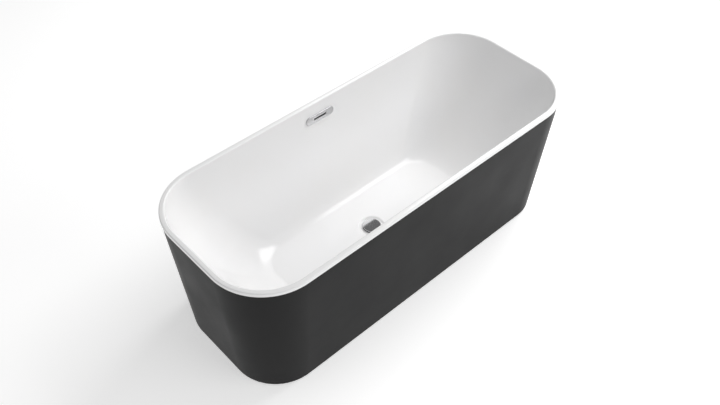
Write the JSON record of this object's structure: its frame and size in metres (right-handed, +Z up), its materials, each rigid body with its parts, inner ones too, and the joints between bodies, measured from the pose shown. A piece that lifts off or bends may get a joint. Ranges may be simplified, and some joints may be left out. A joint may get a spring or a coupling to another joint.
{
  "type": "freestanding bathtub",
  "caption": "Double-ended freestanding bathtub: white inner shell in a tapered dark outer shell, with push-to-open waste, slotted overflow, hidden trap and levelling feet.",
  "frame": {"origin": "on the floor, under the middle of the tub", "axes": "+X along the tub's length, +Y towards the wall with the overflow, +Z up"},
  "size_m": [1.7, 0.7, 0.615],
  "materials": {
    "inner_shell": "gloss white sanitary acrylic",
    "outer_shell": "satin anthracite acrylic",
    "adhesive": "cured mounting adhesive",
    "board": "chipboard sealed with resin",
    "frame_paint": "black powder coat",
    "zinc_steel": "bright zinc plate",
    "chrome": "polished chrome",
    "rubber": "black sealing rubber",
    "white_plastic": "moulded polypropylene",
    "dark_plastic": "moulded nylon"
  },
  "bodies": {
    "tub": {"apron": "outer_shell", "apron_bracket_back_left": "zinc_steel", "apron_bracket_back_right": "zinc_steel", "apron_bracket_front_left": "zinc_steel", "apron_bracket_front_right": "zinc_steel", "base_board": "board", "basin": "inner_shell", "board_screw_back_left": "zinc_steel", "board_screw_back_right": "zinc_steel", "board_screw_front_left": "zinc_steel", "board_screw_front_right": "zinc_steel", "cross_member_left": "frame_paint", "cross_member_right": "frame_paint", "drain_body": "white_plastic", "drain_flange": "chrome", "drain_gasket_bottom": "rubber", "drain_gasket_top": "rubber", "end_strap_left": "zinc_steel", "end_strap_right": "zinc_steel", "foot_nut_back_left": "zinc_steel", "foot_nut_back_right": "zinc_steel", "foot_nut_front_left": "zinc_steel", "foot_nut_front_right": "zinc_steel", "foot_sleeve_back_left": "frame_paint", "foot_sleeve_back_right": "frame_paint", "foot_sleeve_front_left": "frame_paint", "foot_sleeve_front_right": "frame_paint", "frame_rail_back": "frame_paint", "frame_rail_front": "frame_paint", "hose_clip_bottom": "zinc_steel", "hose_clip_top": "zinc_steel", "latch_cartridge": "dark_plastic", "latch_spring": "zinc_steel", "overflow_body": "white_plastic", "overflow_gasket": "rubber", "overflow_hose": "white_plastic", "overflow_plate": "chrome", "rim_adhesive": "adhesive", "trap_body": "white_plastic", "trap_cup": "dark_plastic", "trap_seal": "rubber", "union_nut": "white_plastic"},
    "drain_plug": {"drain_cap": "chrome", "cap_seal": "rubber", "cap_stem": "zinc_steel"},
    "foot_front_left": {"foot_pad_front_left": "dark_plastic"},
    "stud_front_left": {"foot_stud_front_left": "zinc_steel"},
    "foot_front_right": {"foot_pad_front_right": "dark_plastic"},
    "stud_front_right": {"foot_stud_front_right": "zinc_steel"},
    "foot_back_left": {"foot_pad_back_left": "dark_plastic"},
    "stud_back_left": {"foot_stud_back_left": "zinc_steel"},
    "foot_back_right": {"foot_pad_back_right": "dark_plastic"},
    "stud_back_right": {"foot_stud_back_right": "zinc_steel"}
  },
  "joints": [
    {"name": "cap_lift", "type": "slide", "parent": "tub", "child": "drain_plug", "axis": [0, 0, 1], "range_m": [0, 0.01], "deforming": ["latch_spring"]},
    {"name": "foot_lift_front_left", "type": "slide", "parent": "tub", "child": "foot_front_left", "axis": [0, 0, -1], "range_m": [0, 0.0175]},
    {"name": "stud_turn_front_left", "type": "hinge", "parent": "foot_front_left", "child": "stud_front_left", "pos_m": [-0.52, -0.20234, 0.06], "axis": [0, 0, -1], "range_deg": [0, 3601]},
    {"name": "foot_lift_front_right", "type": "slide", "parent": "tub", "child": "foot_front_right", "axis": [0, 0, -1], "range_m": [0, 0.0175]},
    {"name": "stud_turn_front_right", "type": "hinge", "parent": "foot_front_right", "child": "stud_front_right", "pos_m": [0.52, -0.20234, 0.06], "axis": [0, 0, -1], "range_deg": [0, 3601]},
    {"name": "foot_lift_back_left", "type": "slide", "parent": "tub", "child": "foot_back_left", "axis": [0, 0, -1], "range_m": [0, 0.0175]},
    {"name": "stud_turn_back_left", "type": "hinge", "parent": "foot_back_left", "child": "stud_back_left", "pos_m": [-0.52, 0.20234, 0.06], "axis": [0, 0, -1], "range_deg": [0, 3601]},
    {"name": "foot_lift_back_right", "type": "slide", "parent": "tub", "child": "foot_back_right", "axis": [0, 0, -1], "range_m": [0, 0.0175]},
    {"name": "stud_turn_back_right", "type": "hinge", "parent": "foot_back_right", "child": "stud_back_right", "pos_m": [0.52, 0.20234, 0.06], "axis": [0, 0, -1], "range_deg": [0, 3601]}
  ],
  "couplings": [
    {"joint": "stud_turn_front_left", "follows": "foot_lift_front_left", "rad_per_m": 3590.4},
    {"joint": "stud_turn_front_right", "follows": "foot_lift_front_right", "rad_per_m": 3590.4},
    {"joint": "stud_turn_back_left", "follows": "foot_lift_back_left", "rad_per_m": 3590.4},
    {"joint": "stud_turn_back_right", "follows": "foot_lift_back_right", "rad_per_m": 3590.4}
  ]
}
